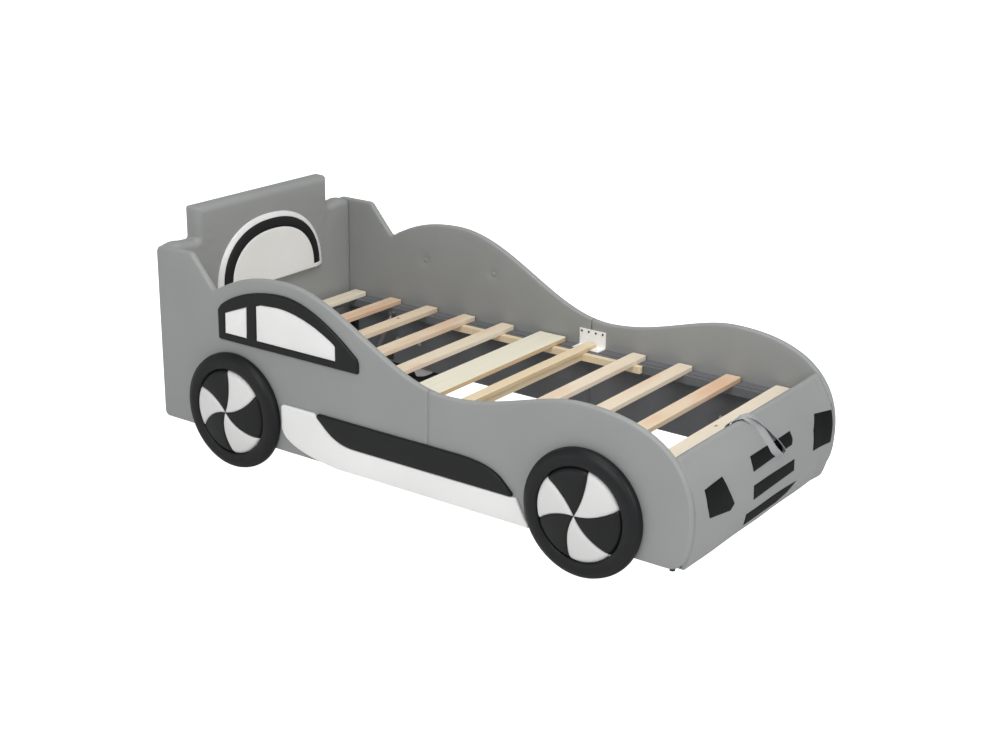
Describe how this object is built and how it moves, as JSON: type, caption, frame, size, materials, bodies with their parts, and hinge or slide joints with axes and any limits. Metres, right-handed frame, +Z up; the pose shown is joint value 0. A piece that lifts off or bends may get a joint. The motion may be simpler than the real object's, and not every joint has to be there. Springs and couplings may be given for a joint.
{
  "type": "car bed for children",
  "caption": "Padded children's bed shaped as a car, with a slatted platform that hinges at the headboard and lifts on gas struts over storage space.",
  "frame": {"origin": "on the floor under the middle of the bed's box", "axes": "+X runs from the headboard to the nose, +Y to the car's left, +Z up"},
  "size_m": [2.19, 1.113, 0.86],
  "materials": {
    "grey_vinyl": "matte grained imitation leather over foam",
    "black_vinyl": "satin imitation leather over foam",
    "white_vinyl": "satin imitation leather",
    "pale_vinyl": "satin imitation leather",
    "dark_wrap": "board wrapped in dark grey vinyl",
    "board": "raw board inside the padding",
    "pine": "planed, unfinished",
    "plywood": "pale face with a tan edge",
    "white_steel": "white powder coat",
    "dark_steel": "dark grey powder coat",
    "steel": "grey coated steel",
    "webbing": "grey strap"
  },
  "bodies": {
    "frame": {"side_board_right_rear": "board", "side_board_right_front": "board", "side_board_left_rear": "board", "side_board_left_front": "board", "side_cover_right_rear": "grey_vinyl", "side_cover_right_front": "grey_vinyl", "side_cover_left_rear": "grey_vinyl", "side_cover_left_front": "grey_vinyl", "headboard_panel": "board", "headboard_cover": "grey_vinyl", "nose_frame": "board", "nose_cover": "grey_vinyl", "tyre_right_rear": "black_vinyl", "tyre_right_front": "black_vinyl", "tyre_left_rear": "black_vinyl", "tyre_left_front": "black_vinyl", "hub_right_rear": "black_vinyl", "hub_right_front": "black_vinyl", "hub_left_rear": "black_vinyl", "hub_left_front": "black_vinyl", "blades_right_rear": "white_vinyl", "blades_right_front": "white_vinyl", "blades_left_rear": "white_vinyl", "blades_left_front": "white_vinyl", "window_frame_right": "black_vinyl", "window_frame_left": "black_vinyl", "window_panes_right": "white_vinyl", "window_panes_left": "white_vinyl", "skirt_right": "white_vinyl", "skirt_left": "white_vinyl", "sill_right": "black_vinyl", "sill_left": "black_vinyl", "headboard_band": "white_vinyl", "headboard_arch": "black_vinyl", "headboard_pane": "pale_vinyl", "headlight_patches": "black_vinyl", "grille_bars": "black_vinyl", "ledger_right": "dark_wrap", "ledger_left": "dark_wrap", "seam_brackets": "white_steel", "corner_brackets": "dark_steel", "frame_screws": "steel", "wheel_bolts": "steel", "tuft_buttons": "grey_vinyl", "nose_glides": "dark_steel", "hinge_plate_right": "dark_steel", "hinge_plate_left": "dark_steel", "strut_base_right": "dark_steel", "strut_base_left": "dark_steel"},
    "platform": {"platform_frame": "steel", "slats": "pine", "wide_board": "plywood", "centre_beam": "pine", "joists": "pine", "slat_screws": "steel", "pull_strap": "webbing"},
    "cylinder_right": {"strut_cylinder_right": "dark_steel"},
    "cylinder_left": {"strut_cylinder_left": "dark_steel"},
    "rod_right": {"strut_rod_right": "steel"},
    "rod_left": {"strut_rod_left": "steel"}
  },
  "joints": [
    {"name": "platform_lift", "type": "hinge", "parent": "frame", "child": "platform", "pos_m": [-1.003, 0, 0.343], "axis": [0, -1, 0], "range_deg": [0, 35]},
    {"name": "strut_cylinder_swing_right", "type": "hinge", "parent": "frame", "child": "cylinder_right", "pos_m": [-0.83588, -0.386, 0.14383], "axis": [0, -1, 0], "range_deg": [-1, 18.5]},
    {"name": "strut_rod_swing_right", "type": "hinge", "parent": "platform", "child": "rod_right", "pos_m": [-0.743, -0.386, 0.343], "axis": [0, -1, 0], "range_deg": [-18.5, 1]},
    {"name": "strut_cylinder_swing_left", "type": "hinge", "parent": "frame", "child": "cylinder_left", "pos_m": [-0.83588, 0.386, 0.14383], "axis": [0, -1, 0], "range_deg": [-1, 18.5]},
    {"name": "strut_rod_swing_left", "type": "hinge", "parent": "platform", "child": "rod_left", "pos_m": [-0.743, 0.386, 0.343], "axis": [0, -1, 0], "range_deg": [-18.5, 1]}
  ],
  "couplings": [
    {"joint": "strut_cylinder_swing_right", "follows": "platform_lift", "ratio": 0.5},
    {"joint": "strut_rod_swing_right", "follows": "platform_lift", "ratio": -0.5},
    {"joint": "strut_cylinder_swing_left", "follows": "platform_lift", "ratio": 0.5},
    {"joint": "strut_rod_swing_left", "follows": "platform_lift", "ratio": -0.5}
  ]
}
